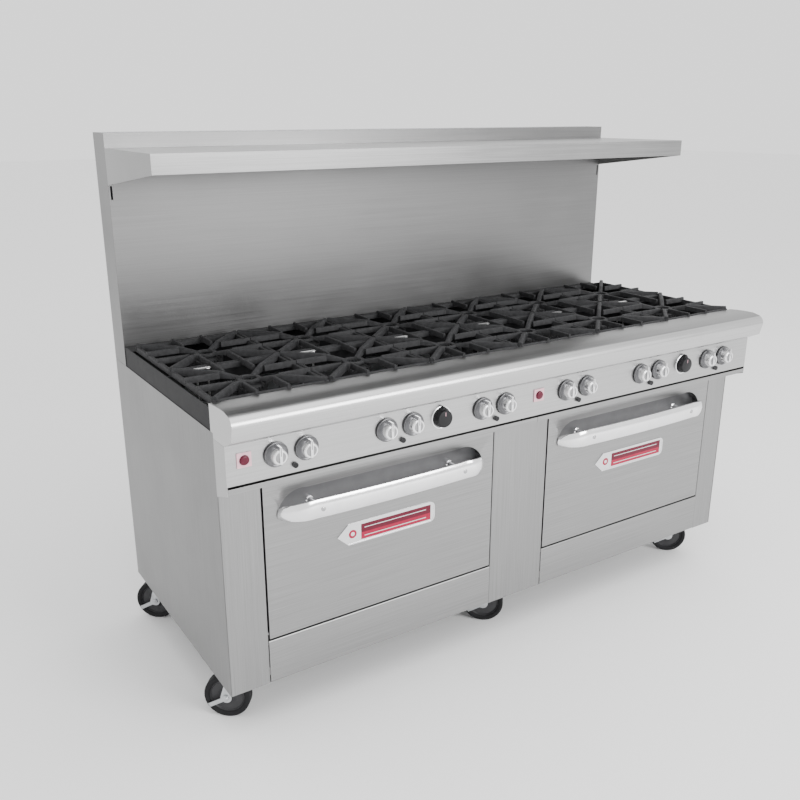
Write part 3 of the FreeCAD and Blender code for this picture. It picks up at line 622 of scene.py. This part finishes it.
crown_tree, given, result = tree("flame_ports", [
    ("Geometry", "Geometry"), ("Ports", "Int"), ("Radius", "Float"), ("Centre", "Vector"),
    ("Finish", "Material")])
ring = node_in(crown_tree, "GeometryNodeMeshCircle",
               {"Vertices": given["Ports"], "Radius": given["Radius"]})
where = node_in(crown_tree, "GeometryNodeInputPosition")
facing = node_in(crown_tree, "FunctionNodeAlignEulerToVector", {"Vector": where.outputs[0]}, axis="X")
ports = node_in(crown_tree, "GeometryNodeInstanceOnPoints",
                {"Points": ring.outputs[0], "Instance": given["Geometry"],
                 "Rotation": facing.outputs[0]})
placed = node_in(crown_tree, "GeometryNodeTransform",
                 {"Geometry": ports.outputs[0], "Translation": given["Centre"]})
solid = node_in(crown_tree, "GeometryNodeRealizeInstances", {"Geometry": placed.outputs[0]})
finished = node_in(crown_tree, "GeometryNodeSetMaterial",
                   {"Geometry": solid.outputs[0], "Material": given["Finish"]})
crown_tree.links.new(finished.outputs[0], result.inputs[0])

grates_low, grates_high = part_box("top_grates")
half_x, half_y = 0.1515, 0.1455
grate_pitch = (grates_high[0] - grates_low[0] - 2 * half_x) / 5
grate_x = grates_low[0] + half_x
rows_y = (grates_low[1] + half_y, grates_high[1] - half_y)
tooth = bmesh.new()
add_block(tooth, (-0.003, -0.0028, -0.004), (0.0022, 0.0028, 0.004))
bm = grown("flame_ports", crown_tree, tooth, {
    "Ports": 28, "Radius": 0.0455, "Centre": (grate_x, rows_y[0], 0.9055), "Finish": cast_iron})
all_ports = grown("burner_ports", rows_tree, bm, {
    "First Step": (grate_pitch, 0, 0), "First Count": 6, "Second Step": (0, rows_y[1] - rows_y[0], 0),
    "Second Count": 2, "Finish": cast_iron})
piece("burner_ports", all_ports, cast_iron, "range")

seed = bmesh.new()
stem = [(0.0, 0.0), (0.0035, 0.0), (0.0035, 0.125),
        (0.0070, 0.130), (0.0070, 0.1445), (0.0, 0.1445)]
tip_left, tip_right, tip_y, feed_x, feed_z = -0.094, -0.064, -0.033, -0.042, 0.012
for x in (tip_left, tip_right):
    add_turned(seed, stem, (x, tip_y, 0.0), (0, 0, 1), 14)
add_block(seed, (tip_left - 0.007, tip_y - 0.005, 0.1440), (tip_right + 0.007, tip_y + 0.005, 0.1465))
wire(seed, (tip_left, tip_y, feed_z), (feed_x, tip_y, feed_z), 0.004)
wire(seed, (feed_x, -0.300, feed_z), (feed_x, -0.030, feed_z), 0.004)
tubes = grown("pilot_tubes", rows_tree, seed, {
    "Start": (grate_x, (rows_y[0] + rows_y[1]) / 2, 0.788), "First Step": (grate_pitch, 0, 0),
    "First Count": 6, "Second Count": 1, "Finish": pilot_tube})
piece("pilot_tubes", tubes, pilot_tube, "range")

# ---- Crumb drawers ----------------------------------------------------------
# Two shallow stainless trays catch drips under the burners. Their slanted lips
# close the gap between the control panel and the doors.

for side in ("left", "right"):
    node = "crumb_drawer_" + side
    piece(node, cad_copy(node), steel_across, node, [node], ease=0.0006)

# ---- Control panel ----------------------------------------------------------
# A folded stainless panel with closed ends, drilled for valve stems, pilot
# screws and two lit buttons in pale square bezels.

panel_steel = brushed("panel_stainless", 0.43, 0.33, (3.0, 420.0, 420.0))
bezel_plastic = mottled("bezel_plastic", (0.72, 0.42, 0.48), 0.0, 0.35, 0.06, 100.0)
red_plastic = mottled("button_red", (0.09, 0.004, 0.018), 0.0, 0.3, 0.1, 120.0, shine=0.3)
bm = cad_copy("control_panel")
for f in bm.faces:
    if f.calc_center_median().y < panel_y - 0.0005:
        f.material_index = 1
piece("control_panel", bm, [panel_steel, bezel_plastic], "range", ["control_panel"],
      ease=0.0006)

knob_chrome = mottled("knob_chrome", (0.86, 0.86, 0.87), 1.0, 0.16, 0.04, 80.0)
# Painted shade: the knob skirt and the grip's end face are the grip's chrome given darker tones.
knob_skirt_painted_shade = mottled("knob_skirt_painted_shade", (0.15, 0.15, 0.155), 1.0, 0.3, 0.1, 80.0)
knob_face_painted_shade = mottled("knob_face_painted_shade", (0.30, 0.30, 0.305), 1.0, 0.25, 0.08, 80.0)
mark_black = mottled("pointer_mark", (0.02, 0.02, 0.02), 0.0, 0.5, 0.1, 100.0)
skirt = [(0.0, 0.0015), (0.0300, 0.0015), (0.0310, 0.0025), (0.0310, 0.0055), (0.0302, 0.0068),
         (0.0288, 0.0072), (0.0270, 0.0060), (0.0250, 0.0052), (0.0, 0.0052)]
grip = [(0.0, 0.0048), (0.0207, 0.0048), (0.0205, 0.0075), (0.0193, 0.0245), (0.0185, 0.0275),
        (0.0168, 0.0292), (0.0150, 0.0295), (0.0138, 0.0290), (0.0, 0.0287)]
grip_face = [(0.0, 0.0291), (0.0132, 0.0291), (0.0138, 0.0286), (0.0, 0.0286)]
for i in range(1, 13):
    node = "knob_%02d" % i
    x, y, z = joint_of[node]["pos_m"]
    bm = bmesh.new()
    add_turned(bm, skirt, (x, y, z), (0, -1, 0), 56, 1)
    add_turned(bm, grip, (x, y, z), (0, -1, 0), 56, 0)
    add_turned(bm, grip_face, (x, y, z), (0, -1, 0), 56, 3)
    rib = [Vector(p) for p in ((-0.0032, -0.0160), (0.0032, -0.0160), (0.0040, 0.0180),
                               (0.0022, 0.0268), (-0.0022, 0.0268), (-0.0040, 0.0180))]
    add_extruded(bm, rib, lambda p, at: Vector((x + p.x, at, z + p.y)), y - 0.0055, y - 0.0321, 0)
    add_block(bm, (x - 0.0008, y - 0.0324, z + 0.004), (x + 0.0008, y - 0.0318, z + 0.025), 2)
    piece(node, bm, [knob_chrome, knob_skirt_painted_shade, mark_black, knob_face_painted_shade], node, [node],
          ease=0.0006)

body_of_dial = [(0.0, 0.0015), (0.0255, 0.0015), (0.0260, 0.0022), (0.0260, 0.0045), (0.0246, 0.0065),
                (0.0236, 0.0160), (0.0222, 0.0188), (0.0195, 0.0197), (0.0, 0.0195)]
ring_of_dial = [(0.0272, 0.0), (0.0272, 0.0012), (0.0282, 0.0018), (0.0300, 0.0018),
                (0.0312, 0.0010), (0.0314, 0.0)]
for side in ("left", "right"):
    node = "thermostat_" + side
    x, y, z = joint_of[node]["pos_m"]
    bm = bmesh.new()
    add_turned(bm, body_of_dial, (x, y, z), (0, -1, 0), 56, 0)
    nose = [Vector(p) for p in ((-0.013, 0.018), (0.013, 0.018), (0.004, 0.030),
                                (0.0, 0.0335), (-0.004, 0.030))]
    add_extruded(bm, nose, lambda p, at: Vector((x + p.x, at, z + p.y)), y - 0.0018, y - 0.0130, 0)
    add_block(bm, (x - 0.0007, y - 0.0199, z + 0.008), (x + 0.0007, y - 0.0192, z + 0.019), 1)
    piece(node, bm, [black_plastic, bezel_plastic], node, [node], ease=0.0006)
    bm = bmesh.new()
    add_turned(bm, ring_of_dial + ring_of_dial[:1], (x, y, z), (0, -1, 0), 56)
    piece("dial_ring_" + side, bm, knob_chrome, "range")

    node = "button_" + side
    low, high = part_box(node)
    cap = [(0.0, 0.0), (0.0075, 0.0004), (0.0105, 0.0015), (0.0117, 0.0035), (0.0120, 0.0060),
           (0.0120, 0.0300), (0.0, 0.0300)]
    bm = bmesh.new()
    add_turned(bm, cap, ((low[0] + high[0]) / 2, low[1], (low[2] + high[2]) / 2), (0, 1, 0), 40)
    piece(node, bm, red_plastic, node, [node])

# ---- Front rail -------------------------------------------------------------
# A deep bullnosed rail of brighter stainless, folded from one sheet with welded
# and polished ends. It hooks over the front of the cooking top.

rail_steel = brushed("rail_stainless", 0.51, 0.30, (3.0, 420.0, 420.0))
# Painted shade: the rail's upward faces get a darker tone than its front, though both are one sheet.
rail_top_painted_shade_steel = brushed("rail_top_stainless_painted_shade", 0.27, 0.36, (3.0, 420.0, 420.0))
bm = cad_copy("front_rail")
# Faces turned up take the painted-shade tone.
bm.normal_update()
for f in bm.faces:
    if f.normal.z > 0.9:
        f.material_index = 1
piece("front_rail", bm, [rail_steel, rail_top_painted_shade_steel], "range", ["front_rail"],
      ease=0.0007, crease=30)

# ---- Top grates -------------------------------------------------------------
# Twelve loose grates, sand-cast in iron: a frame, four thick arms that fall to
# a hub over the flame, and eight short fingers. All come from one pattern.


def add_bar(bm, start, end, width, low, high_a, high_b, soft=0.0022):
    """One cast bar with drafted sides and rounded upper edges."""
    start, end = Vector(start), Vector(end)
    run = (end - start).normalized()
    out = Vector((-run.y, run.x))
    ends = []
    for spot, high in ((start, high_a), (end, high_b)):
        half = width / 2
        outline = [(-half * 1.05, low), (-half * 0.92, high - soft * 1.6),
                   (-half * 0.78, high - soft * 0.5), (-half * 0.45, high), (half * 0.45, high),
                   (half * 0.78, high - soft * 0.5), (half * 0.92, high - soft * 1.6),
                   (half * 1.05, low)]
        ends.append([bm.verts.new((spot.x + out.x * a, spot.y + out.y * a, z)) for a, z in outline])
    a, b = ends
    for i in range(len(a)):
        j = (i + 1) % len(a)
        bm.faces.new((a[i], a[j], b[j], b[i]))
    bm.faces.new(a)
    bm.faces.new(b)


low_z, top_z = grates_low[2], grates_high[2]
frame_x, frame_y, frame_top = half_x - 0.0055, half_y - 0.0055, top_z - 0.008
finger_from, finger_off = 0.062, 0.042
grate = bmesh.new()
for s in (-1, 1):
    add_bar(grate, (-half_x, s * frame_y), (half_x, s * frame_y), 0.011, low_z, frame_top, frame_top)
    add_bar(grate, (s * frame_x, -half_y), (s * frame_x, half_y), 0.011, low_z, frame_top, frame_top)
    for across in (-1, 1):
        corner = Vector((s * half_x, across * half_y))
        near = corner.normalized() * 0.023
        knee = corner.normalized() * 0.080
        tip = corner * 0.975
        add_bar(grate, near, knee, 0.0145, low_z + 0.004, top_z - 0.012, top_z)
        add_bar(grate, knee, tip, 0.0145, low_z + 0.004, top_z, top_z)
        aside = across * finger_off
        add_bar(grate, (s * finger_from, aside), (s * half_x, aside), 0.009,
                low_z + 0.006, top_z - 0.001, top_z)
        add_bar(grate, (aside, s * finger_from), (aside, s * half_y), 0.009,
                low_z + 0.006, top_z - 0.001, top_z)
hub = [(0.020, 0.003), (0.020, 0.0078), (0.0215, 0.009), (0.0305, 0.009), (0.032, 0.0075), (0.032, 0.003)]
add_turned(grate, hub + hub[:1], (0, 0, low_z), (0, 0, 1), 28)
grates = grown("grates", rows_tree, grate, {
    "Start": (grate_x, rows_y[0], 0), "First Step": (grate_pitch, 0, 0), "First Count": 6,
    "Second Step": (0, rows_y[1] - rows_y[0], 0), "Second Count": 2, "Finish": cast_iron})
piece("top_grates", grates, cast_iron, "range", ["top_grates"])

# ---- Riser and high shelf ---------------------------------------------------
# The riser is a hollow stainless duct for the flue gas, closed behind by a plain
# sheet, with slats across its open top. The shelf hooks into two slots in it.

# Painted shade: the riser's stainless is given a darker tone than the body's sheet.
riser_painted_shade_steel = brushed("riser_stainless_painted_shade", 0.19, 0.36, (3.0, 420.0, 420.0), streak=0.012, wave=0.0008)
shelf_steel = brushed("shelf_stainless", 0.30, 0.33, (3.0, 420.0, 420.0))
for node, finish, ease in (("riser_front", riser_painted_shade_steel, 0.0006), ("riser_back", galvanised, 0.0005),
                           ("high_shelf", shelf_steel, 0.0007)):
    piece(node, cad_copy(node), finish, "range", [node], ease=ease)

low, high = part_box("riser_front")
slat = bmesh.new()
blade = [(-0.010, -0.014), (-0.0088, -0.014), (0.0112, 0.0), (0.0100, 0.0)]
add_extruded(slat, [Vector(p) for p in blade], lambda p, at: Vector((p.x, at, p.y)),
             low[1] + 0.020, high[1] - 0.018)
slat_count, slat_inset = 36, 0.03
slat_step = (high[0] - low[0] - 2 * slat_inset) / (slat_count - 1)
slats = grown("flue_slats", rows_tree, slat, {
    "Start": (low[0] + slat_inset, 0, high[2] - 0.002), "First Step": (slat_step, 0, 0),
    "First Count": slat_count, "Second Count": 1, "Finish": steel_across})
piece("flue_slats", slats, steel_across, "range")

# ---- Studio -----------------------------------------------------------------
# A pale floor under a bright even sky, with two broad soft lights.

bm = bmesh.new()
bmesh.ops.create_grid(bm, x_segments=1, y_segments=1, size=30)
data = bpy.data.meshes.new("floor")
bm.to_mesh(data)
bm.free()
floor = bpy.data.objects.new("floor", data)
floor_paint = bpy.data.materials.new("floor_paint")
floor_paint.use_nodes = True
paint = floor_paint.node_tree.nodes["Principled BSDF"]
paint.inputs["Base Color"].default_value = (0.93, 0.93, 0.93, 1)
paint.inputs["Roughness"].default_value = 0.9
data.materials.append(floor_paint)
bpy.context.scene.collection.objects.link(floor)

sky = bpy.data.worlds.new("sky")
sky.use_nodes = True
sky.node_tree.nodes["Background"].inputs["Color"].default_value = (1, 1, 1, 1)
sky.node_tree.nodes["Background"].inputs["Strength"].default_value = 1.5
bpy.context.scene.world = sky


def soft_light(name, place, aim, size, power):
    lamp = bpy.data.lights.new(name, "AREA")
    lamp.shape = "RECTANGLE"
    lamp.size, lamp.size_y = size
    lamp.energy = power
    holder = bpy.data.objects.new(name, lamp)
    holder.location = place
    holder.rotation_euler = (Vector(aim) - Vector(place)).to_track_quat("-Z", "Y").to_euler()
    holder.visible_camera = False
    bpy.context.scene.collection.objects.link(holder)


soft_light("overhead", (0.3, -1.6, 4.4), (0, 0, 0.9), (4.0, 3.0), 70)
soft_light("front_right", (1.9, -5.6, 2.8), (0, 0, 0.8), (3.2, 2.4), 330)

eye = bpy.data.cameras.new("camera")
eye.sensor_width = 36.0
eye.lens = 39.65
camera = bpy.data.objects.new("camera", eye)
camera.location = (-1.5931, -2.154, 1.561)
camera.rotation_euler = (radians(90 - 18.13), 0, radians(-33.06))
bpy.context.scene.collection.objects.link(camera)
bpy.context.scene.camera = camera
